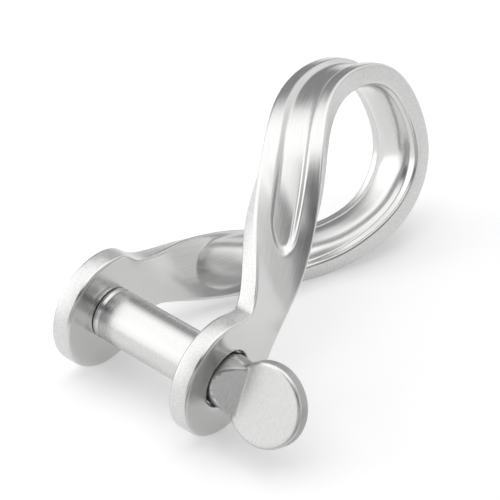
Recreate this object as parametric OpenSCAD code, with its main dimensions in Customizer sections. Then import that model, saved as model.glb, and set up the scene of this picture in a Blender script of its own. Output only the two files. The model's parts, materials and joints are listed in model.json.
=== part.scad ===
// Twisted strip shackle with a screw pin, in millimetres.
// The pin lies along X with its thumb tab at +X, the bow points along +Y, and
// the origin is the middle of the pin's span. The shackle lies as it does on a
// table: on the rims of both ears and on the lower side of the bow.

/* [Pressed strip] */
// Thickness of the strip
strip_t = 2; // [1.6:0.1:2.2]
// Width of the strip at the neck, where it leaves the ear
neck_w = 5.8; // [5.4:0.1:6.2]
// Greatest width of the strip, on the legs
leg_w = 7.2; // [6.4:0.1:7.6]
// Width of the strip round the bow
bow_w = 6; // [5.6:0.1:6.4]
// Depth of the groove pressed into the outer face, which stands as a bead inside
groove_depth = 0.8; // [0.4:0.1:1]
// Width of the groove's flat floor
groove_floor_w = 2.3; // [1.6:0.1:2.4]
// Width of each of the groove's sloping walls
groove_wall_w = 0.5; // [0.3:0.1:0.6]
// Width of the bead's flat top
bead_top_w = 2; // [1.6:0.1:2.4]
// Width of each of the bead's sloping sides
bead_wall_w = 1.6; // [1:0.1:1.7]

/* [Jaw] */
// Clear width between the two ears
jaw_w = 12; // [11:0.2:14]
// Diameter of the round ears
ear_d = 11.3; // [11:0.1:12.4]
// Diameter of the plain bore in the ear beside the tab
ear_bore_d = 5.44; // [5.2:0.02:5.6]
// Radius of the fillet between an ear and its neck
neck_fillet_r = 2.2; // [1.8:0.1:2.6]

/* [Bow] */
// Pin axis to the inner face at the crown
inside_length = 33.9; // [32:0.1:38]
// Clear width between the legs at the waist
waist_w = 10.4; // [9.6:0.1:11]
// Height of the waist above the pin axis
waist_z = 12; // [11:0.5:13]
// Clear width of the bow at its widest, before the bead
eye_w = 14.7; // [13:0.1:17]
// Height of the widest place above the pin axis
eye_z = 23.8; // [22:0.2:25]
// How square the top of the bow is: 0.55 is an ellipse
crown_fullness = 0.7; // [0.55:0.01:0.75]
// Angle that the bow is turned from the jaw
twist_angle = 108; // [90:1:115]

/* [Pin] */
// Diameter of the plain shank
pin_d = 5; // [4.8:0.02:5]
// Outer diameter of the threaded end
thread_d = 3.9; // [3.6:0.1:3.9]
// How far the threaded end stands out of its ear
thread_proud = 0.5; // [0:0.1:1.5]
// Chamfer on the shoulder and on the tip
pin_chamfer = 0.4; // [0.2:0.1:0.6]

/* [Thumb tab] */
// Diameter of the flat round tab
tab_d = 7.7; // [6.8:0.1:8]
// Thickness of the tab
tab_t = 1.5; // [1.4:0.1:2]
// Radius on the rim of the tab
tab_rim_r = 0.3; // [0.2:0.1:0.6]
// Pin middle to the middle of the tab
tab_x = 12.55; // [12.5:0.05:14]
// How far the middle of the forged tab lies off the pin's axis
tab_off = 0.2; // [0:0.1:0.3]
// Turn of the tab about the pin when the pin is tight
tab_turn = -37; // [-180:1:180]

/* [Hidden] */
$fn = 96;

// Radial play of the threaded end in its hole, and end play of the shoulder
thread_play = 0.05;
shoulder_play = 0.02;
// Past both faces of a wall, so that a cut leaves no skin
cut_over = 1;

ear_r = ear_d / 2;
pin_r = pin_d / 2;
tab_r = tab_d / 2;

// The strip's centre line: half its spacing at the ear, the waist and the eye
ear_x = (jaw_w + strip_t) / 2;
waist_x = (waist_w + strip_t) / 2;
eye_x = (eye_w + strip_t) / 2;
crown_z = inside_length + strip_t / 2;

// The ear is flat up to this height, and the strip twists from there to the crown
twist_start_z = 2.9;
twist_top_z = 30.3;
// Share of the twist's height over which the twist sets in
twist_onset = 0.06;

// The fillet's circle touches the ear's rim and the neck's side
fillet_y = neck_w / 2 + neck_fillet_r;
fillet_z = sqrt(pow(ear_r + neck_fillet_r, 2) - pow(fillet_y, 2));
rim_end_z = fillet_z * ear_r / (ear_r + neck_fillet_r);
// The strip reaches the leg's width and then the bow's width at these heights
leg_w_z = 11.8;
bow_w_z = 27.6;

// The bead rises on the legs between these heights, and the groove behind it
// sets in more abruptly
bead_start_z = 9.8;
bead_full_z = 12.6;
groove_start_z = 11.6;
groove_full_z = 13.2;

// Bends of the centre line, and how many cross-sections each one has
bend_handle = 0.45;
ear_steps = 13;
leg_steps = 14;
flare_steps = 14;
crown_steps = 13;
// Steps across each sloping wall of the groove and of the bead
wall_steps = 3;

function clamp01(u) = min(1, max(0, u));
function ease(u) = clamp01(u) * clamp01(u) * (3 - 2 * clamp01(u));

function bezier(p, t) =
    pow(1 - t, 3) * p[0] + 3 * pow(1 - t, 2) * t * p[1]
    + 3 * (1 - t) * t * t * p[2] + pow(t, 3) * p[3];
function bezier_slope(p, t) =
    pow(1 - t, 2) * (p[1] - p[0]) + 2 * (1 - t) * t * (p[2] - p[1])
    + t * t * (p[3] - p[2]);

// A bend that leaves and arrives upright, from [x, z] to [x, z]
function upright_bend(a, b) =
    let (h = bend_handle * (b[1] - a[1]))
    [a, a + [0, h], b - [0, h], b];

leg_curve = upright_bend([ear_x, twist_start_z], [waist_x, waist_z]);
flare_curve = upright_bend([waist_x, waist_z], [eye_x, eye_z]);
crown_curve = [
    [eye_x, eye_z],
    [eye_x, eye_z + crown_fullness * (crown_z - eye_z)],
    [crown_fullness * eye_x, crown_z],
    [0, crown_z]
];

// A station is a point of the centre line with its outward normal
function station(p, t) =
    let (d = bezier_slope(p, t), l = norm(d))
    [bezier(p, t), [d[1] / l, -d[0] / l]];
function stations(p, steps) = [for (i = [0 : steps - 1]) station(p, i / steps)];
// Round the ear the stations are even steps of angle from its foot, which keeps
// a narrow flat
ear_foot_angle = 6;
ear_top_angle = acos(-twist_start_z / ear_r);
function ear_station(i) =
    let (a = ear_foot_angle + (ear_top_angle - ear_foot_angle) * i / ear_steps)
    [[ear_x, -ear_r * cos(a)], [1, 0]];
half_strip = concat(
    [for (i = [0 : ear_steps - 1]) ear_station(i)],
    stations(leg_curve, leg_steps),
    stations(flare_curve, flare_steps),
    stations(crown_curve, crown_steps)
);
function other_side(s) = [[-s[0][0], s[0][1]], [-s[1][0], s[1][1]]];
strip_line = concat(
    half_strip,
    [station(crown_curve, 1)],
    [for (i = [len(half_strip) - 1 : -1 : 0]) other_side(half_strip[i])]
);

// Turn of the strip about the long axis at a height: quick at the neck, easing
// off to nothing near the crown
function twist_at(z) =
    let (
        u = clamp01((z - twist_start_z) / (twist_top_z - twist_start_z)),
        soft = u < twist_onset ? u * u / (2 * twist_onset) : u - twist_onset / 2,
        v = soft / (1 - twist_onset / 2)
    )
    twist_angle * (4 * v - pow(v, 4)) / 3;

// Half width of the strip at a height: ear rim, fillet, neck, leg and bow
function half_width_at(z) =
    z < rim_end_z ? sqrt(ear_r * ear_r - z * z)
    : z < fillet_z ? fillet_y - sqrt(pow(neck_fillet_r, 2) - pow(fillet_z - z, 2))
    : neck_w / 2
      + (leg_w - neck_w) / 2 * ease((z - fillet_z) / (leg_w_z - fillet_z))
      + (bow_w - leg_w) / 2 * ease((z - leg_w_z) / (bow_w_z - leg_w_z));

// Half of a pressed profile [across, depth share], from its flat middle outwards
function half_press(flat_w, wall_w) = [for (i = [0 : wall_steps])
    [flat_w / 2 + wall_w * i / wall_steps, 1 - ease(i / wall_steps)]];
function press(flat_w, wall_w) =
    let (half = half_press(flat_w, wall_w))
    concat(
        [for (i = [wall_steps : -1 : 0]) [-half[i][0], half[i][1]]],
        half
    );
groove = press(groove_floor_w, groove_wall_w);
bead = press(bead_top_w, bead_wall_w);
press_points = len(groove);

// Cross-section [across, out]: the outer face with its groove, then back along
// the inner face with its bead. Both draw in where the strip is narrower than the bow
function section(half_w, groove_d, bead_h) =
    let (squeeze = min(1, 2 * half_w / bow_w))
    concat(
        [[-half_w, strip_t / 2]],
        [for (q = groove) [squeeze * q[0], strip_t / 2 - groove_d * q[1]]],
        [[half_w, strip_t / 2], [half_w, -strip_t / 2]],
        [for (i = [press_points - 1 : -1 : 0])
            [squeeze * bead[i][0], -strip_t / 2 - bead_h * bead[i][1]]],
        [[-half_w, -strip_t / 2]]
    );

// The cross-section set on a station and turned about the long axis
function ring(s) =
    let (
        z = s[0][1],
        turn = twist_at(z),
        groove_d = groove_depth * ease((z - groove_start_z) / (groove_full_z - groove_start_z)),
        bead_h = groove_depth * ease((z - bead_start_z) / (bead_full_z - bead_start_z))
    )
    [for (q = section(half_width_at(z), groove_d, bead_h))
        let (x = s[0][0] + s[1][0] * q[1], y = q[0])
        [x * cos(turn) + y * sin(turn), y * cos(turn) - x * sin(turn), z + s[1][1] * q[1]]];

rings = [for (s = strip_line) ring(s)];

// Tilt at which the shackle rests on the ear rims and on the bow: the steepest
// tangent from the ear's circle to any point of the strip on that side
function rest_tilt(p) = atan2(p[1], p[2]) - asin(ear_r / norm([p[1], p[2]]));
tilt = max([for (r = rings) for (p = r) if (p[2] > waist_z) rest_tilt(p)]);

// From the shackle's upright frame to the frame in which it lies
module as_it_lies() {
    rotate([tilt - 90, 0, 0])
        children();
}

// A shape drawn along Z from 0, set along the pin's axis from x on
module along_pin(x) {
    translate([x, 0, 0])
        rotate([0, 90, 0])
            children();
}

// The pressed, bent and twisted strip from ear to ear. The ends are closed by
// triangles between the outer face's points and the inner face's.
module swept_strip() {
    n = len(rings[0]);
    half = n / 2;
    last = len(rings) - 1;
    start_cap = [for (j = [0 : half - 2])
        each [[j, j + 1, n - 1 - j], [j + 1, n - 2 - j, n - 1 - j]]];
    sides = [for (i = [0 : last - 1]) for (j = [0 : n - 1])
        let (a = i * n + j, b = i * n + (j + 1) % n)
        each [[a, a + n, b], [b, a + n, b + n]]];
    end_cap = [for (f = start_cap) [for (k = [2 : -1 : 0]) f[k] + last * n]];
    polyhedron(
        points = [for (r = rings) for (p = r) p],
        faces = concat(start_cap, sides, end_cap),
        convexity = 8
    );
}

module ear_hole(x, r) {
    along_pin(x - strip_t / 2 - cut_over)
        cylinder(r = r, h = strip_t + 2 * cut_over);
}

module shackle_body() {
    color([0.78, 0.78, 0.77])
        as_it_lies()
            difference() {
                swept_strip();
                ear_hole(ear_x, ear_bore_d / 2);
                ear_hole(-ear_x, thread_d / 2 + thread_play);
            }
}

// The round part of the pin ends here, inside the ear beside the tab
pin_seam_x = ear_x;
pin_shoulder_x = -jaw_w / 2 + shoulder_play;
pin_tip_x = -ear_x - strip_t / 2 - thread_proud;

module pin_shank() {
    thread_r = thread_d / 2;
    color([0.84, 0.84, 0.83])
        as_it_lies()
            along_pin(0)
                rotate_extrude()
                    polygon([
                        [0, pin_tip_x],
                        [thread_r - pin_chamfer, pin_tip_x],
                        [thread_r, pin_tip_x + pin_chamfer],
                        [thread_r, pin_shoulder_x],
                        [pin_r - pin_chamfer, pin_shoulder_x],
                        [pin_r, pin_shoulder_x + pin_chamfer],
                        [pin_r, pin_seam_x],
                        [0, pin_seam_x]
                    ]);
}

// The neck stays round to just outside the ear, then a slope on each side runs
// down to the tab's flats
neck_round_end_x = ear_x + strip_t / 2 + 0.35;
neck_flat_start_x = neck_round_end_x + 1.85;
rim_points = 6;

module pin_tab() {
    flat = tab_t / 2;
    color([0.86, 0.86, 0.85])
        as_it_lies()
            rotate([tab_turn, 0, 0]) {
                translate([tab_x, tab_off, 0])
                    rotate_extrude()
                        polygon(concat(
                            [[0, -flat]],
                            [for (i = [0 : rim_points])
                                let (a = 90 * i / rim_points)
                                [tab_r - tab_rim_r * (1 - sin(a)), -flat + tab_rim_r * (1 - cos(a))]],
                            [for (i = [rim_points : -1 : 0])
                                let (a = 90 * i / rim_points)
                                [tab_r - tab_rim_r * (1 - sin(a)), flat - tab_rim_r * (1 - cos(a))]],
                            [[0, flat]]
                        ));
                intersection() {
                    along_pin(pin_seam_x)
                        cylinder(r = pin_r, h = tab_x - pin_seam_x);
                    rotate([90, 0, 0])
                        linear_extrude(height = pin_d, center = true)
                            polygon([
                                [pin_seam_x, pin_r],
                                [neck_round_end_x, pin_r],
                                [neck_flat_start_x, flat],
                                [tab_x, flat],
                                [tab_x, -flat],
                                [neck_flat_start_x, -flat],
                                [neck_round_end_x, -pin_r],
                                [pin_seam_x, -pin_r]
                            ]);
                }
            }
}

shackle_body();
pin_shank();
pin_tab();
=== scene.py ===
# %% [markdown]
# # A twisted strip shackle with a screw pin
# The shackle is one strip of stainless steel. A press cuts it to shape, rolls a groove
# into it, pierces both ears, folds it in half and twists it, so that the bow stands
# across the jaw. A screw pin with a thumb tab closes the jaw.
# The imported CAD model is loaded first: every piece below is made to sit exactly in it.

import json

import bpy
import numpy as np
from mathutils import Matrix, Vector


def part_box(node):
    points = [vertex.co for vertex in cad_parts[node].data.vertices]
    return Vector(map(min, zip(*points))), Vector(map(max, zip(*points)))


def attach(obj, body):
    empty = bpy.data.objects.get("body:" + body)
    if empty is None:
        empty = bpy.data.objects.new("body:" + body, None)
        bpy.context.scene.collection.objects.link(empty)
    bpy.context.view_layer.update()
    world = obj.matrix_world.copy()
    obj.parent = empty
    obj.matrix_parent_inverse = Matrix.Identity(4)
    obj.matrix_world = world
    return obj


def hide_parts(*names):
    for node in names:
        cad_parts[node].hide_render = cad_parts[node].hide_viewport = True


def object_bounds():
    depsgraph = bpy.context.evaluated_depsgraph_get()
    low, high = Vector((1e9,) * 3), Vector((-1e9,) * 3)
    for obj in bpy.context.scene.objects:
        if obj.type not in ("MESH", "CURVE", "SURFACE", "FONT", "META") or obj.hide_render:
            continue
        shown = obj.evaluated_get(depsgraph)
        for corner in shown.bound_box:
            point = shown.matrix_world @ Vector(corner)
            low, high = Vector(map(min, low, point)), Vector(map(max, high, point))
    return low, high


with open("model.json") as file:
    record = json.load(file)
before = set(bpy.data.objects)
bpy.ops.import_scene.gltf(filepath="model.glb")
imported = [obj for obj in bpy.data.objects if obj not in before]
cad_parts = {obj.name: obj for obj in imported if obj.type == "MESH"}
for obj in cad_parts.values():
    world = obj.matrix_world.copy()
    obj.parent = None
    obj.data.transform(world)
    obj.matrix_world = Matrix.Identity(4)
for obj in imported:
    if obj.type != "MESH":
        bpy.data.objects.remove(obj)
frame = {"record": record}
cad_box = [list(corner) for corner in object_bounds()]
MM = 0.001
print("CAD box in mm:", np.round(np.array(cad_box) / MM, 2).tolist())

# %% [markdown]
# ## Sizes
# The driving sizes are in millimetres, as on a drawing, and Blender works in metres, so
# lengths are turned into metres where a mesh is finished. The pin's radius and the
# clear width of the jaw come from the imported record, and the rest follows the CAD source.

# %% Driving sizes
pin_mount = next(m for m in frame["record"]["mounts"] if m["name"] == "pin_span")
pin_r = pin_mount["dims"]["r_mm"]
jaw_w = pin_mount["dims"]["length_mm"]

strip_t = 2.0
ear_r = 5.65
near_bore_r = 2.72
far_bore_r = 2.0
neck_w = 5.8
leg_w = 7.2
bow_w = 6.0
neck_fillet_r = 2.2

ear_x = (jaw_w + strip_t) / 2
waist_x, waist_z = 6.2, 12.0
eye_x, eye_z = 8.35, 23.8
crown_z = 34.9
crown_fullness = 0.7
twist_deg = 108.0
print(f"pin radius {pin_r} mm, jaw {jaw_w} mm, ears at x = ±{ear_x} mm")

# %% [markdown]
# ## The centre line of the folded strip
# Seen from the front before the twist, the strip runs up from one ear, in at the waist,
# out round the eye and down the other side. Three Bezier curves give one half, and the
# other half is its mirror image. The distance along the line is the distance along the
# flat blank, so this table also says where each place on the blank goes in the fold.

# %% Half of the centre line, with its outward normals
bend_handle = 0.45
flat_top_z = 2.9
ear_stations, leg_stations, flare_stations, crown_stations = 28, 60, 70, 48


def bezier(points, stations):
    """Places and directions along a curve, without its first place."""
    p = np.array(points, float)[:, None, :]
    t = np.linspace(0, 1, stations)[1:, None]
    s = 1 - t
    place = s**3 * p[0] + 3 * s * s * t * p[1] + 3 * s * t * t * p[2] + t**3 * p[3]
    slope = s * s * (p[1] - p[0]) + 2 * s * t * (p[2] - p[1]) + t * t * (p[3] - p[2])
    return place, slope / np.linalg.norm(slope, axis=1, keepdims=True)


def upright_bend(start, end):
    handle = np.array([0, bend_handle * (end[1] - start[1])])
    return [start, start + handle, end - handle, end]


ear_top = np.array([ear_x, flat_top_z])
waist = np.array([waist_x, waist_z])
eye = np.array([eye_x, eye_z])
crown = np.array([0, crown_z])
crown_bend = [
    eye,
    eye + [0, crown_fullness * (crown_z - eye_z)],
    crown + [crown_fullness * eye_x, 0],
    crown,
]
ear_z = np.linspace(-ear_r, flat_top_z, ear_stations)
ear_line = np.column_stack([np.full_like(ear_z, ear_x), ear_z])
leg_line, leg_run = bezier(upright_bend(ear_top, waist), leg_stations)
flare_line, flare_run = bezier(upright_bend(waist, eye), flare_stations)
crown_line, crown_run = bezier(crown_bend, crown_stations)
half_line = np.vstack([ear_line, leg_line, flare_line, crown_line])
half_run = np.vstack([np.tile([0.0, 1.0], (len(ear_z), 1)), leg_run, flare_run, crown_run])
print(f"half of the centre line has {len(half_line)} stations")

# %% The whole line, as a table of distance along, place and normal
mirror = np.array([-1.0, 1.0])
half_out = np.column_stack([half_run[:, 1], -half_run[:, 0]])
line = np.vstack([half_line, half_line[-2::-1] * mirror])
line_out = np.vstack([half_out, half_out[-2::-1] * mirror])
steps = np.linalg.norm(np.diff(line, axis=0), axis=1)
line_along = np.concatenate([[0.0], np.cumsum(steps)])
blank_length = line_along[-1]
print(f"the flat blank is {blank_length:.1f} mm long")

# %% [markdown]
# ## The width of the blank
# The blank is dumb-bell shaped: a round ear at each end, a fillet into a narrow neck, a
# wider leg, and a slightly narrower bow. The same outline gives the distance of any
# place from the nearest edge, which rounds the edges off later.

# %% Half width and edge distance on the blank
fillet_y = neck_w / 2 + neck_fillet_r
fillet_z = np.sqrt((ear_r + neck_fillet_r) ** 2 - fillet_y**2)
rim_end_z = fillet_z * ear_r / (ear_r + neck_fillet_r)
leg_w_z = 11.8
bow_w_z = 27.6


def ease(u):
    u = np.clip(u, 0, 1)
    return u * u * (3 - 2 * u)


def half_width(z):
    rim = np.sqrt(np.maximum(ear_r**2 - z * z, 0))
    fillet = fillet_y - np.sqrt(np.maximum(neck_fillet_r**2 - (fillet_z - z) ** 2, 0))
    leg = neck_w / 2 + (leg_w - neck_w) / 2 * ease((z - fillet_z) / (leg_w_z - fillet_z))
    leg += (bow_w - leg_w) / 2 * ease((z - leg_w_z) / (bow_w_z - leg_w_z))
    return np.where(z < rim_end_z, rim, np.where(z < fillet_z, fillet, leg))


def edge_distance(across, z):
    side = np.abs(across)
    rim = ear_r - np.hypot(side, z)
    fillet = np.hypot(fillet_y - side, fillet_z - z) - neck_fillet_r
    on_rim = z * fillet_y < side * fillet_z
    near_ear = np.where(on_rim | (z < 0), rim, np.minimum(fillet, fillet_y - side))
    return np.maximum(np.where(z < fillet_z, near_ear, half_width(z) - side), 0)


print(f"half width at ear {half_width(np.array(0.0)):.2f}, neck {half_width(fillet_z):.2f} mm")

# %% [markdown]
# ## Helpers for working as by hand
# Blender's operators act on whatever is selected, and the loaded CAD nodes are all
# selected, so each piece starts by clearing the selection. A grid is the start of both
# sheet-like pieces: it is laid out row by row, like a net of lines on sheet metal.

# %% Selection, modifiers and grids


def clear_selection():
    if bpy.context.object and bpy.context.object.mode != "OBJECT":
        bpy.ops.object.mode_set(mode="OBJECT")
    bpy.ops.object.select_all(action="DESELECT")


def apply_modifier(piece, kind, **settings):
    clear_selection()
    bpy.context.view_layer.objects.active = piece
    piece.select_set(True)
    bpy.ops.object.modifier_add(type=kind)
    modifier = piece.modifiers[-1]
    for setting, value in settings.items():
        setattr(modifier, setting, value)
    bpy.ops.object.modifier_apply(modifier=modifier.name)


def vertex_places(piece):
    flat = np.empty(len(piece.data.vertices) * 3)
    piece.data.vertices.foreach_get("co", flat)
    return flat.reshape(-1, 3)


def move_vertices(piece, places):
    piece.data.vertices.foreach_set("co", np.asarray(places, float).ravel())
    piece.data.update()


def sheet_of_rows(name, rows):
    """A flat sheet whose net of lines passes through rows of (across, along) places."""
    rows = np.array(rows)
    clear_selection()
    count, width = rows.shape[:2]
    bpy.ops.mesh.primitive_grid_add(x_subdivisions=width - 1, y_subdivisions=count - 1, size=2)
    piece = bpy.context.object
    piece.name = name
    net = (vertex_places(piece)[:, :2] + 1) / 2
    column = np.rint(net[:, 0] * (width - 1)).astype(int)
    row = np.rint(net[:, 1] * (count - 1)).astype(int)
    places = rows[row, column]
    move_vertices(piece, np.column_stack([places, np.zeros(len(places))]))
    return piece


# %% [markdown]
# ## Steel finishes
# All pieces are bare stainless steel, so the finishes differ in polish and a little in
# tone. The wide faces are buffed bright along the strip, the sheared edges are matte and
# mottled from the cut and the tumbling, with a colour a little lighter than the faces as
# painted light for the light they catch, the barrel is ground round, the tab is satin,
# and the tab's rim and neck keep the duller skin of the forging, with a darker colour as
# painted shade for their darker reflections. One even metal would
# look too clean, so noise makes small changes of gloss and tone, and a little bump
# breaks up the reflections as on real worked metal.

# %% A helper for steel
dull_below, bright_above = 0.35, 0.65
smooth_below, rough_above = 0.3, 0.7
waves_per_mm = 0.35


def steel(name, colour, gloss, grain, grain_size, bump, shade=0.94, attribute=None, dents=0.0):
    """Bare steel. gloss is the roughness range, grain the stretch of the grain on each
    axis, grain_size its size in mm, bump and dents the heights of grain and waves, and
    shade how bright the dull spots are beside the rest."""
    material = bpy.data.materials.new(name)
    material.use_nodes = True
    nodes, links = material.node_tree.nodes, material.node_tree.links
    shader = nodes["Principled BSDF"]
    shader.inputs["Metallic"].default_value = 1.0
    mapping = nodes.new("ShaderNodeMapping")
    unit = 1.0 / grain_size
    if attribute:
        place = nodes.new("ShaderNodeAttribute")
        place.attribute_name = attribute
        links.new(place.outputs["Vector"], mapping.inputs["Vector"])
    else:
        place = nodes.new("ShaderNodeTexCoord")
        links.new(place.outputs["Object"], mapping.inputs["Vector"])
        unit /= MM
    mapping.inputs["Scale"].default_value = [unit * stretch for stretch in grain]
    noise = nodes.new("ShaderNodeTexNoise")
    noise.inputs["Scale"].default_value = 1.0
    noise.inputs["Detail"].default_value = 4.0
    links.new(mapping.outputs["Vector"], noise.inputs["Vector"])
    rough = nodes.new("ShaderNodeMapRange")
    rough.inputs["From Min"].default_value = smooth_below
    rough.inputs["From Max"].default_value = rough_above
    rough.inputs["To Min"].default_value = gloss[0]
    rough.inputs["To Max"].default_value = gloss[1]
    links.new(noise.outputs["Fac"], rough.inputs["Value"])
    links.new(rough.outputs["Result"], shader.inputs["Roughness"])
    tone = nodes.new("ShaderNodeValToRGB")
    tone.color_ramp.elements[0].position = dull_below
    tone.color_ramp.elements[0].color = [c * shade for c in colour] + [1.0]
    tone.color_ramp.elements[1].position = bright_above
    tone.color_ramp.elements[1].color = list(colour) + [1.0]
    links.new(noise.outputs["Fac"], tone.inputs["Fac"])
    links.new(tone.outputs["Color"], shader.inputs["Base Color"])
    raised = nodes.new("ShaderNodeBump")
    raised.inputs["Strength"].default_value = 1.0
    raised.inputs["Distance"].default_value = bump * MM
    links.new(noise.outputs["Fac"], raised.inputs["Height"])
    links.new(raised.outputs["Normal"], shader.inputs["Normal"])
    if dents:
        waves = nodes.new("ShaderNodeTexNoise")
        waves.inputs["Scale"].default_value = waves_per_mm / MM
        waves.inputs["Detail"].default_value = 1.0
        coords = nodes.new("ShaderNodeTexCoord")
        links.new(coords.outputs["Object"], waves.inputs["Vector"])
        rolled = nodes.new("ShaderNodeBump")
        rolled.inputs["Strength"].default_value = 1.0
        rolled.inputs["Distance"].default_value = dents * MM
        links.new(waves.outputs["Fac"], rolled.inputs["Height"])
        links.new(rolled.outputs["Normal"], raised.inputs["Normal"])
    return material


# %% The finishes
steel_colour = (0.65, 0.65, 0.645)
buffed = steel(
    "buffed_strip",
    steel_colour,
    gloss=(0.18, 0.26),
    grain=(6, 0.4, 6),
    grain_size=1.0,
    bump=0.0008,
    attribute="blank_place",
    dents=0.02,
)
# Sheared edges: matte and mottled, and their colour, lighter than the faces, is painted light
# for the light the edges catch.
sheared_painted_light = steel(
    "sheared_edge_painted_light",
    (0.72, 0.72, 0.715),
    gloss=(0.36, 0.5),
    grain=(1, 1, 1),
    grain_size=0.16,
    bump=0.012,
    shade=0.82,
    attribute="blank_place",
)
ground = steel(
    "ground_barrel",
    steel_colour,
    gloss=(0.2, 0.3),
    grain=(12, 0.5, 0.5),
    grain_size=1.0,
    bump=0.001,
)
satin = steel(
    "satin_tab",
    (0.66, 0.66, 0.655),
    gloss=(0.24, 0.34),
    grain=(4, 0.5, 0.5),
    grain_size=0.5,
    bump=0.0015,
)
# The tab's rim and neck: the duller forged skin, and its dark colour is painted shade for the
# darker reflections there.
forged_skin_painted_shade = steel(
    "forged_rim_painted_shade",
    (0.42, 0.42, 0.417),
    gloss=(0.3, 0.45),
    grain=(1, 1, 1),
    grain_size=0.3,
    bump=0.004,
)
print("finishes:", [m.name for m in (buffed, sheared_painted_light, ground, satin, forged_skin_painted_shade)])

# %% [markdown]
# ## The rows of the blank
# The blank could be extruded from its outline, but then it would have no faces inside to
# press and fold. So it starts as a net of lines that lie close together along every
# edge, where the edge will be rounded, and evenly in between. At the round ends the net
# is bent so that its last lines follow the rim.

# %% Lines across the strip and round its ends
edge_round = 0.3
edge_turns = np.radians([90, 67.5, 45, 22.5, 0])
middle_lines = 46
end_rows = 16
row_gap = 0.05


def lines_across(half_w, rounding, turns, middle):
    inset = rounding * (1 - np.sin(turns))
    inner = np.linspace(-(half_w - rounding), half_w - rounding, middle + 2)[1:-1]
    return np.concatenate([-half_w + inset, inner, (half_w - inset)[::-1]])


def round_end(radius, rounding, turns, middle, even_rows):
    """Rows of a half disc about (0, 0), from its rim at -along to its straight side. The
    lines beside the rim keep the same distance from it all the way round."""
    u = lines_across(radius, rounding, turns, middle) / radius
    inset = rounding * (1 - np.sin(turns)) / radius
    down = np.concatenate([1 - inset, np.linspace(1 - inset[-1], 0, even_rows)[1:]])
    rows = []
    for v in down:
        ring = np.maximum(np.abs(u), v)
        lesser = np.pi / 4 * np.minimum(np.abs(u), v) / np.maximum(ring, 1e-9)
        angle = np.where(np.abs(u) > v, np.pi / 2 - lesser, lesser)
        place = np.column_stack([np.sign(u) * np.sin(angle), -np.cos(angle)])
        rows.append(place * ring[:, None] * radius)
    return rows


foot = round_end(ear_r, edge_round, edge_turns, middle_lines, end_rows)
from_ear = np.minimum(line_along, blank_length - line_along) - ear_r
straight = from_ear > row_gap
blank_rows = [row + [0, ear_r] for row in foot]
for along, z in zip(line_along[straight], line[straight, 1]):
    across = lines_across(float(half_width(z)), edge_round, edge_turns, middle_lines)
    blank_rows.append(np.column_stack([across, np.full_like(across, along)]))
blank_rows += [row * [1, -1] + [0, blank_length - ear_r] for row in foot[::-1]]
print(f"the blank's net has {len(blank_rows)} rows of {len(blank_rows[0])} places")

# %% [markdown]
# ## Cutting the blank
# Solidify gives the sheet its thickness, half to each side, and closes its rim. The rim
# faces get the second material, because a sheared edge stays grey and matte while the
# wide faces are polished, and its colour is a little lighter than the faces as painted
# light for the light the edges catch.

# %% The flat blank with its thickness
strip = sheet_of_rows("shackle_strip", blank_rows)
strip.data.materials.append(buffed)
strip.data.materials.append(sheared_painted_light)
apply_modifier(
    strip,
    "SOLIDIFY",
    thickness=strip_t,
    offset=0,
    use_even_offset=False,
    material_offset_rim=1,
)
print(f"the blank has {len(strip.data.polygons)} faces")

# %% [markdown]
# ## Pressing the groove
# A roller presses a groove into what becomes the outer face, and the steel stands up as
# a wide domed bead on the other face. Both run out on the legs with a round end, and the
# bead starts low and a little slanted and rises towards the bow. Sculpting could do it,
# but a height worked out for each place gives the same even groove all the way. The same
# pass rounds all edges off, as tumbling does to the real strip.

# %% Groove, bead and rounded edges
groove_depth = 0.45
groove_floor = 1.05
groove_wall = 0.7
groove_end_z = 13.4
groove_end_length = 1.4
bead_height = 0.5
bead_flange = 0.9
bead_fullness = 3.2
bead_end_z = 12.5
bead_end_skew = -0.4
bead_end_share = 0.6
bead_rise_length = 7.0


def along_at(z):
    """Distance along the blank at which the first leg has that height."""
    return np.interp(z, half_line[:, 1], line_along[: len(half_line)])


def pressed_groove(across, from_end):
    past_end = np.minimum(from_end - along_at(groove_end_z), 0) / groove_end_length
    from_floor = np.hypot(across, past_end)
    return groove_depth * ease((groove_floor + groove_wall - from_floor) / groove_wall)


def raised_bead(across, z, from_end, half):
    """Height of the bead. half is 1 on the first half of the strip and -1 on the other,
    because the second end is slanted the other way."""
    from_bead_end = from_end - along_at(bead_end_z)
    past_end = np.minimum(from_bead_end + bead_end_skew * across * half, 0)
    bead_foot = half_width(np.maximum(z, leg_w_z)) - bead_flange
    share = np.hypot(across, past_end) / bead_foot
    rise = bead_end_share + (1 - bead_end_share) * ease(from_bead_end / bead_rise_length)
    return bead_height * rise * np.maximum(1 - share**bead_fullness, 0)


def rounded_off(distance, rounding):
    """How far a rounded edge lies below the face at a distance from the rim."""
    short = np.maximum(rounding - distance, 0)
    return rounding - np.sqrt(np.maximum(rounding**2 - short**2, 0))


across, along, out = vertex_places(strip).T
z_along = np.interp(along, line_along, line[:, 1])
drop = rounded_off(edge_distance(across, z_along), edge_round)
from_end = np.minimum(along, blank_length - along)
outer = strip_t / 2 - drop - pressed_groove(across, from_end)
half = np.where(along < blank_length / 2, 1, -1)
inner = -strip_t / 2 + drop - raised_bead(across, z_along, from_end, half)
move_vertices(strip, np.column_stack([across, along, np.where(out > 0, outer, inner)]))
print(f"groove {groove_depth} mm deep, ends at z = {groove_end_z} mm")

# %% [markdown]
# ## Piercing the ears
# The hole beside the tab clears the shank, and the other one takes the thread. They are
# cut by a Boolean while the blank is flat, as in the press, so that one kind of cutter
# does for both. A cutter is a ring of edges that is extruded along the hole and scaled,
# as on a lathe, with a flare at both faces for the small chamfer of a countersink.

# %% A lathe, and the two cutters
lathe_sides = 96


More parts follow.
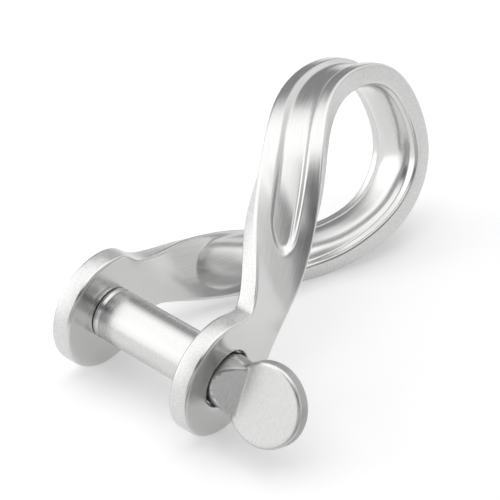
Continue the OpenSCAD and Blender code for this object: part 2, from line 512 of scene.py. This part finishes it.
def turned(name, profile, axis="Z"):
    """A closed solid of revolution from (place along, radius) pairs, about Z or X."""
    clear_selection()
    bpy.ops.mesh.primitive_circle_add(vertices=lathe_sides, radius=1, fill_type="NGON")
    piece = bpy.context.object
    piece.name = name
    bpy.ops.object.mode_set(mode="EDIT")
    bpy.ops.mesh.select_all(action="SELECT")
    for _ in profile[1:]:
        bpy.ops.mesh.extrude_region_move()
    bpy.ops.object.mode_set(mode="OBJECT")
    places = vertex_places(piece)
    ring = np.arange(len(places)) // lathe_sides
    height, radius = np.array(profile, float)[ring].T
    places = np.column_stack([places[:, 0] * radius, places[:, 1] * radius, height])
    move_vertices(piece, places if axis == "Z" else places[:, [2, 0, 1]])
    clear_selection()
    piece.select_set(True)
    bpy.ops.object.mode_set(mode="EDIT")
    bpy.ops.mesh.select_all(action="SELECT")
    bpy.ops.mesh.normals_make_consistent(inside=False)
    bpy.ops.object.mode_set(mode="OBJECT")
    return piece


bore_chamfer = 0.17
cut_over = 0.5


def pierce(piece, radius, along):
    face = strip_t / 2
    flare = radius + bore_chamfer + cut_over
    cutter = turned(
        "cutter",
        [
            (-face - cut_over, flare),
            (-face + bore_chamfer, radius),
            (face - bore_chamfer, radius),
            (face + cut_over, flare),
        ],
    )
    move_vertices(cutter, vertex_places(cutter) + [0, along, 0])
    apply_modifier(piece, "BOOLEAN", operation="DIFFERENCE", object=cutter, solver="EXACT")
    bpy.data.objects.remove(cutter)


pierce(strip, near_bore_r, ear_r)
pierce(strip, far_bore_r, blank_length - ear_r)
print(f"pierced strip has {len(strip.data.polygons)} faces")

# %% [markdown]
# ## Folding and twisting
# Each place on the pressed blank is carried to its place on the centre line and then
# turned about the long axis by the twist at its height. The twist is quick at the neck
# and dies out near the crown. Blender's bend and twist tools make one even bend, and
# this fold changes all the way, so the vertices are moved by the table instead. The
# blank's own coordinates are kept as an attribute, for scratches that follow the strip.

# %% Fold, twist, and lay the shackle down
twist_top_z = 30.3
twist_onset = 0.06


def twist_at(z):
    u = np.clip((z - flat_top_z) / (twist_top_z - flat_top_z), 0, 1)
    soft = np.where(u < twist_onset, u * u / (2 * twist_onset), u - twist_onset / 2)
    v = soft / (1 - twist_onset / 2)
    return np.radians(twist_deg) * (4 * v - v**4) / 3


def folded(across, along, out):
    x, z = (np.interp(along, line_along, line[:, k]) for k in (0, 1))
    out_x, out_z = (np.interp(along, line_along, line_out[:, k]) for k in (0, 1))
    turn = twist_at(z)
    x = x + out_x * out
    return np.column_stack(
        [
            x * np.cos(turn) + across * np.sin(turn),
            across * np.cos(turn) - x * np.sin(turn),
            z + out_z * out,
        ]
    )


bow = line_along[line[:, 1] > waist_z]
bow_half_w = half_width(np.interp(bow, line_along, line[:, 1]))
bow_corners = np.vstack(
    [folded(s * bow_half_w, bow, np.full_like(bow, h)) for s in (-1, 1) for h in (-1, 1)]
)
reach = np.hypot(bow_corners[:, 1], bow_corners[:, 2])
rest_angles = np.arctan2(bow_corners[:, 1], bow_corners[:, 2]) - np.arcsin(ear_r / reach)
tilt = rest_angles.max()


def laid_down(places):
    x, y, z = np.asarray(places).T
    up = -y * np.cos(tilt) + z * np.sin(tilt)
    return np.column_stack([x, y * np.sin(tilt) + z * np.cos(tilt), up]) * MM


flat_places = vertex_places(strip)
move_vertices(strip, laid_down(folded(*flat_places.T)))
blank_place = strip.data.attributes.new("blank_place", "FLOAT_VECTOR", "POINT")
blank_place.data.foreach_set("vector", flat_places.ravel())
print(f"the shackle lies tilted by {np.degrees(tilt):.2f} degrees")

# %% Smooth shading for the strip


def smooth(piece, angle_deg):
    clear_selection()
    piece.select_set(True)
    bpy.context.view_layer.objects.active = piece
    bpy.ops.object.shade_smooth_by_angle(angle=np.radians(angle_deg))
    apply_modifier(piece, "WEIGHTED_NORMAL", keep_sharp=True, weight=80)


smooth(strip, 60)
cad_corners = np.array([list(c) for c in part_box("shackle_body")]) / MM
made = vertex_places(strip) / MM
print("strip box", np.round([made.min(0), made.max(0)], 2).tolist())
print("CAD box  ", np.round(cad_corners, 2).tolist())

# %% [markdown]
# ## The pin's shank
# The shank is turned from bar: a polished barrel with a fine ring cut beside its rounded
# shoulder, then a thinner end with the thread. The Screw modifier could make the thread
# as a coil of its own, but that would have to be joined to the shank. Here close rings
# are turned first, and then each vertex moves in or out by its place along the pitch and
# round the pin, so that the thread is a real helix in one closed mesh.

# %% Turn the shank and cut its thread
thread_r = 1.95
thread_depth = 0.32
thread_pitch = 0.7
pin_chamfer = 0.4
pin_seam_x = ear_x
shoulder_play = 0.02
pin_proud = 0.5
pin_shoulder_x = -jaw_w / 2 + shoulder_play
pin_tip_x = -ear_x - strip_t / 2 - pin_proud
shoulder_step = 0.001
shoulder_round = 0.2
shoulder_mid = 0.3 * shoulder_round
ring_x = pin_shoulder_x + 0.62
ring_w = 0.5
ring_floor = 0.12 * ring_w
ring_depth = 0.12
thread_run_out = 0.5
thread_ring_count = 44
thread_rings = np.linspace(pin_tip_x + pin_chamfer, pin_shoulder_x, thread_ring_count)

shank_profile = [(pin_tip_x, thread_r - pin_chamfer)]
shank_profile += [(x, thread_r) for x in thread_rings]
shank_profile += [
    (pin_shoulder_x + shoulder_step, pin_r - shoulder_round),
    (pin_shoulder_x + shoulder_mid, pin_r - shoulder_mid),
    (pin_shoulder_x + shoulder_round, pin_r),
    (ring_x - ring_w / 2, pin_r),
    (ring_x - ring_floor, pin_r - ring_depth),
    (ring_x + ring_floor, pin_r - ring_depth),
    (ring_x + ring_w / 2, pin_r),
    (pin_seam_x, pin_r),
]
shank = turned("pin_barrel", shank_profile, axis="X")
x, y, z = vertex_places(shank).T
on_thread = (x > pin_tip_x) & (x <= pin_shoulder_x)
phase = 2 * np.pi * x / thread_pitch - np.arctan2(z, y)
fading = ease((pin_shoulder_x - x) / thread_run_out)
cut = thread_depth * (1 - np.cos(phase)) / 2 * on_thread * fading
radius = np.hypot(y, z)
scale = (radius - cut) / radius
move_vertices(shank, laid_down(np.column_stack([x, y * scale, z * scale])))
smooth(shank, 40)
shank.data.materials.append(ground)
print(f"shank has {len(shank.data.polygons)} faces")

# %% [markdown]
# ## The thumb tab
# The end of the pin is forged flat into a round tab. Cut from a cylinder by Booleans, it
# would have hard edges where the round bar runs into the flat. So it is laid out like
# the strip: a flat outline with the pin's width at one end, a fillet and a round end.
# Solidify closes it, and then each place gets its height: a round neck, a slope on each
# side that cuts into it, and the flat tab with rounded edges.

# %% The tab's outline
tab_x = 12.55
tab_off = 0.2
tab_r = 3.85
tab_t = 1.5
tab_rim_r = 0.3
tab_fillet_r = 0.8
tab_turn = np.radians(-37)
neck_round_end_x = 7.9
neck_flat_x = 10.2
neck_roundness = 0.97

tab_fillet_y = pin_r + tab_fillet_r
tab_fillet_x = -np.sqrt((tab_r + tab_fillet_r) ** 2 - tab_fillet_y**2)
tab_rim_start = tab_fillet_x * tab_r / (tab_r + tab_fillet_r)


def tab_half_width(run):
    """Half width at a distance along the pin from the tab's middle, up to the middle."""
    rim = np.sqrt(np.maximum(tab_r**2 - run**2, 0))
    short = np.maximum(tab_fillet_r**2 - (run - tab_fillet_x) ** 2, 0)
    fillet = tab_fillet_y - np.sqrt(short)
    neck = np.full_like(run, pin_r)
    return np.where(run > tab_rim_start, rim, np.where(run > tab_fillet_x, fillet, neck))


def down_the_slope(run):
    """Share of the way from the end of the round neck to the tab's flat, over 1 past it."""
    return np.maximum((run + tab_x - neck_round_end_x) / (neck_flat_x - neck_round_end_x), 0)


tab_turns = np.radians(np.linspace(90, 0, 11))
tab_middle = 29
tab_neck_rows = 70
tab_rows = []
for run in np.linspace(pin_seam_x - tab_x, 0, tab_neck_rows)[:-1]:
    half_w = float(tab_half_width(np.array(run)))
    rounding = neck_roundness * pin_r
    rounding += (tab_rim_r - rounding) * ease(down_the_slope(run))
    sides = lines_across(half_w, float(rounding), tab_turns, tab_middle)
    tab_rows.append(np.column_stack([sides, np.full_like(sides, run)]))
tip = round_end(tab_r, tab_rim_r, tab_turns, tab_middle, end_rows)
tab_rows += [row * [1, -1] for row in tip[::-1]]
print(f"the tab's net has {len(tab_rows)} rows")

# %% The tab's height
slope_blend = 0.12


def tab_edge_distance(across, run):
    side = np.abs(across)
    rim = tab_r - np.hypot(side, run)
    fillet = np.hypot(tab_fillet_y - side, run - tab_fillet_x) - tab_fillet_r
    on_rim = -run * tab_fillet_y < -side * tab_fillet_x
    near_tab = np.where(on_rim, rim, fillet)
    return np.maximum(np.where(run > tab_fillet_x, near_tab, pin_r - side), 0)


def lower_of(a, b, blend):
    """The lower of two heights, with a small round where they cross."""
    share = np.clip(0.5 + (b - a) / (2 * blend), 0, 1)
    return b + (a - b) * share - blend * share * (1 - share)


def tab_neck_slope(run):
    return pin_r + (tab_t / 2 - pin_r) * down_the_slope(run)


def bar_height(across):
    return np.sqrt(np.maximum(pin_r**2 - across**2, 0))


def tab_height(across, run):
    flat = tab_t / 2 - rounded_off(tab_edge_distance(across, run), tab_rim_r)
    neck = lower_of(bar_height(across), tab_neck_slope(run), slope_blend)
    return -lower_of(-neck, -flat * ease(2 * down_the_slope(run)), slope_blend / 2)


tab = sheet_of_rows("pin_thumb_tab", tab_rows)
tab.data.materials.append(satin)
tab.data.materials.append(forged_skin_painted_shade)
apply_modifier(
    tab,
    "SOLIDIFY",
    thickness=tab_t,
    offset=0,
    use_even_offset=False,
    material_offset_rim=1,
)
across, run, out = vertex_places(tab).T
height = np.where(out > 0, 1, -1) * tab_height(across, run)
side = tab_off * ease(down_the_slope(run)) - across
turn_cos, turn_sin = np.cos(tab_turn), np.sin(tab_turn)
y = side * turn_cos - height * turn_sin
z = side * turn_sin + height * turn_cos
move_vertices(tab, laid_down(np.column_stack([run + tab_x, y, z])))
# The round neck gets the dark rim material too: painted shade for its darker reflections.
round_height = bar_height(across)
on_round_neck = (tab_t / 2 < round_height) & (round_height < tab_neck_slope(run))
for face in tab.data.polygons:
    if on_round_neck[list(face.vertices)].any():
        face.material_index = 1
smooth(tab, 60)
made = vertex_places(tab) / MM
print("tab box", np.round([made.min(0), made.max(0)], 2).tolist())

# %% [markdown]
# ## Putting the pieces on their bodies
# The strip is the fixed body. The shank slides along the jaw and the tab turns with it,
# as a screw does, so each piece rides on its own CAD body and stands for its CAD node.

# %% Rides, nodes and slots
rides = [
    (strip, "shackle", "shackle_body", "strip_steel"),
    (shank, "pin", "pin_shank", "pin_steel"),
    (tab, "tab", "pin_tab", "pin_steel"),
]
for piece, body, node, slot in rides:
    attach(piece, body)
    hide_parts(node)
    print(f"{piece.name} rides on {body} and stands for {node}")

# %% [markdown]
# ## The table and the light
# Polished steel shows only what stands round it, so the studio matters as much as the
# finish. The table and the surroundings are white. Two soft lamps light the table, and
# the steel sees bright panels and grey cards in their place, out of the picture, which
# draw the light and dark lines that give the metal its form. One bright sky would be
# simpler, but it would leave the steel white all over.

# %% White table
table_size = 2.0
table_colour = (0.8, 0.8, 0.8, 1)
table_glow_level = 0.32


def looked_at(nodes, links):
    """1 for rays that the eye follows, straight or by way of the steel, 0 for others."""
    path = nodes.new("ShaderNodeLightPath")
    looked = path.outputs["Is Camera Ray"]
    for kind in ("Is Glossy Ray", "Is Transmission Ray"):
        either = nodes.new("ShaderNodeMath")
        either.operation = "MAXIMUM"
        links.new(looked, either.inputs[0])
        links.new(path.outputs[kind], either.inputs[1])
        looked = either.outputs[0]
    return looked


clear_selection()
bpy.ops.mesh.primitive_plane_add(size=table_size, location=(0, 0, cad_box[0][2]))
table = bpy.context.object
table.name = "table"
table_paint = bpy.data.materials.new("table_paint")
table_paint.use_nodes = True
nodes, links = table_paint.node_tree.nodes, table_paint.node_tree.links
nodes.remove(nodes["Principled BSDF"])
paint = nodes.new("ShaderNodeBsdfDiffuse")
paint.inputs["Color"].default_value = table_colour
glow = nodes.new("ShaderNodeEmission")
table_glow = nodes.new("ShaderNodeMath")
table_glow.operation = "MULTIPLY"
table_glow.inputs[1].default_value = table_glow_level
links.new(looked_at(nodes, links), table_glow.inputs[0])
links.new(table_glow.outputs[0], glow.inputs["Strength"])
both = nodes.new("ShaderNodeAddShader")
links.new(paint.outputs[0], both.inputs[0])
links.new(glow.outputs[0], both.inputs[1])
links.new(both.outputs[0], nodes["Material Output"].inputs["Surface"])
table.data.materials.append(table_paint)
print("table at z =", round(cad_box[0][2] / MM, 2), "mm")

# %% White surroundings
sky_as_light, sky_as_seen = 0.32, 1.0
world = bpy.data.worlds.new("studio")
world.use_nodes = True
bpy.context.scene.world = world
nodes, links = world.node_tree.nodes, world.node_tree.links
sky = nodes["Background"]
level = nodes.new("ShaderNodeMapRange")
level.inputs["To Min"].default_value = sky_as_light
level.inputs["To Max"].default_value = sky_as_seen
links.new(looked_at(nodes, links), level.inputs["Value"])
links.new(level.outputs["Result"], sky.inputs["Strength"])
sky.inputs["Color"].default_value = (1, 1, 1, 1)
print("surroundings are white")

# %% Soft lamps
middle_mm = (4, 15, 3)
middle = Vector(middle_mm) * MM


def towards(azimuth_deg, elevation_deg):
    """A direction from the shackle: azimuth turns from +X to +Y."""
    a, e = np.radians(azimuth_deg), np.radians(elevation_deg)
    return np.array([np.cos(a) * np.cos(e), np.sin(a) * np.cos(e), np.sin(e)])


def facing(azimuth_deg, elevation_deg, distance):
    """Place and turn of something flat that faces the shackle from a direction."""
    place = middle + Vector(towards(azimuth_deg, elevation_deg)) * distance
    return place, (middle - place).to_track_quat("-Z", "Y").to_euler()


def soft_lamp(name, azimuth_deg, elevation_deg, distance, size, radiance):
    """Light for the table. The steel sees the panels below in place of the lamps."""
    clear_selection()
    place, turn = facing(azimuth_deg, elevation_deg, distance)
    bpy.ops.object.light_add(type="AREA", location=place, rotation=turn)
    lamp = bpy.context.object
    lamp.name = name
    lamp.data.shape = "RECTANGLE"
    lamp.data.size, lamp.data.size_y = size
    lamp.data.energy = radiance * np.pi * size[0] * size[1]
    lamp.visible_glossy = False


lamp_distance = 0.4
soft_lamp("lamp_overhead", 150, 78, lamp_distance, size=(0.56, 0.5), radiance=1.5)
soft_lamp("lamp_front_left", 215, 24, lamp_distance, size=(0.34, 0.3), radiance=1.6)
print("two soft lamps")

# %% What the steel sees
card_net = 24
card_lift_mm = 0.05


def paint_card(piece, net, level, feather, standing=False):
    """Make a sheet that only reflections see, with edges that fade to nothing. The foot
    of one that stands on the table doesn't fade."""
    from_edge = np.minimum(net, 1 - net)
    if standing:
        from_edge[:, 1] = 1 - net[:, 1]
    from_edge = from_edge.min(axis=1)
    fade = piece.data.attributes.new("fade", "FLOAT", "POINT")
    fade.data.foreach_set("value", ease(from_edge / feather))
    board = bpy.data.materials.new(piece.name)
    board.use_nodes = True
    nodes, links = board.node_tree.nodes, board.node_tree.links
    nodes.remove(nodes["Principled BSDF"])
    glow = nodes.new("ShaderNodeEmission")
    glow.inputs["Strength"].default_value = level
    clear = nodes.new("ShaderNodeBsdfTransparent")
    edge = nodes.new("ShaderNodeAttribute")
    edge.attribute_name = "fade"
    mix = nodes.new("ShaderNodeMixShader")
    links.new(edge.outputs["Fac"], mix.inputs["Fac"])
    links.new(clear.outputs[0], mix.inputs[1])
    links.new(glow.outputs[0], mix.inputs[2])
    links.new(mix.outputs[0], nodes["Material Output"].inputs["Surface"])
    piece.data.materials.append(board)
    piece.visible_camera = False
    piece.visible_diffuse = False
    piece.visible_shadow = False


def card_sheet(name):
    clear_selection()
    bpy.ops.mesh.primitive_grid_add(x_subdivisions=card_net, y_subdivisions=card_net, size=2)
    piece = bpy.context.object
    piece.name = name
    return piece, (vertex_places(piece)[:, :2] + 1) / 2


def panel(name, azimuth_deg, elevation_deg, distance, size, level, feather):
    """A flat bright panel that faces the shackle."""
    piece, net = card_sheet(name)
    place, turn = facing(azimuth_deg, elevation_deg, distance)
    flat = np.column_stack([(net - 0.5) * size, np.zeros(len(net))])
    move_vertices(piece, flat @ np.array(turn.to_matrix()).T + np.array(place))
    paint_card(piece, net, level, feather)


def card(name, azimuths, elevations, distance, level, feather, lean=0.0):
    """A grey card, curved round the shackle between two azimuths and two elevations.
    lean is its rise in degrees for each degree of azimuth."""
    piece, net = card_sheet(name)
    azimuth = azimuths[0] + (azimuths[1] - azimuths[0]) * net[:, 0]
    elevation = elevations[0] + (elevations[1] - elevations[0]) * net[:, 1]
    elevation = elevation + lean * (azimuth - np.mean(azimuths))
    move_vertices(piece, np.array(middle) + towards(azimuth, elevation).T * distance)
    paint_card(piece, net, level, feather, standing=elevations[0] < 0)


def painted_shadow_card(name, azimuths, distances_mm, level, feather):
    """A grey card that lies on the table: a painted shadow of the shackle beside it, that only
    the steel's reflections see.
    """
    piece, net = card_sheet(name)
    azimuth = np.radians(azimuths[0] + (azimuths[1] - azimuths[0]) * net[:, 0])
    reach = (distances_mm[0] + (distances_mm[1] - distances_mm[0]) * net[:, 1]) * MM
    x, y = middle.x + reach * np.cos(azimuth), middle.y + reach * np.sin(azimuth)
    above_table = cad_box[0][2] + card_lift_mm * MM
    move_vertices(piece, np.column_stack([x, y, np.full_like(x, above_table)]))
    paint_card(piece, net, level, feather)


panel("panel_overhead", 112, 81, distance=0.7, size=(2.6, 1.3), level=1.6, feather=0.42)
panel("panel_front_left", 211, 18, distance=0.75, size=(1.4, 1.7), level=1.72, feather=0.34)
card("card_far_right", (-26, 68), (-0.5, 60), distance=0.66, level=0.78, feather=0.34)
card("card_back", (104, 172), (-0.5, 46), distance=0.65, level=0.32, feather=0.35)
card("card_front", (250, 334), (-0.5, 34), distance=0.64, level=0.5, feather=0.35)
card("card_right", (325, 370), (-0.5, 40), distance=0.63, level=0.42, feather=0.3)
card("card_high_right", (-36, 44), (25, 84), distance=0.62, level=0.42, feather=0.36)
card("card_camera_side", (224, 372), (26, 64), distance=0.6, level=0.14, feather=0.3, lean=-0.18)
# Painted shadow: a darker patch on the table to the right and front, where the shackle's shadow
# falls, seen in the steel's reflections.
painted_shadow_card("card_table_painted_shadow", (282, 374), distances_mm=(14, 130), level=0.34, feather=0.2)
print("two panels and seven cards")

# %% [markdown]
# ## The camera
# The camera was fitted to the outlines of the shackle: a long lens from the front right,
# well above the table, and rolled by a degree and a half.

# %% Camera
aim_mm = (2.90, 9.255, 5.975)
distance_mm = 165.76
azimuth_deg, elevation_deg, roll_deg = 40.93, 40.45, -1.48
lens_mm = 133.53
sensor_mm = 36
turn = (
    Matrix.Rotation(np.radians(azimuth_deg), 4, "Z")
    @ Matrix.Rotation(np.radians(90 - elevation_deg), 4, "X")
    @ Matrix.Rotation(np.radians(roll_deg), 4, "Z")
)
place = Vector(aim_mm) * MM + turn.to_3x3() @ Vector((0, 0, distance_mm * MM))
clear_selection()
bpy.ops.object.camera_add(location=place, rotation=turn.to_euler())
camera = bpy.context.object
camera.data.lens = lens_mm
camera.data.sensor_width = sensor_mm
camera.data.clip_start = 0.001
camera.data.clip_end = 10
bpy.context.scene.camera = camera
bpy.context.scene.view_settings.view_transform = "Standard"
print("camera at", [round(v / MM, 1) for v in place], "mm")
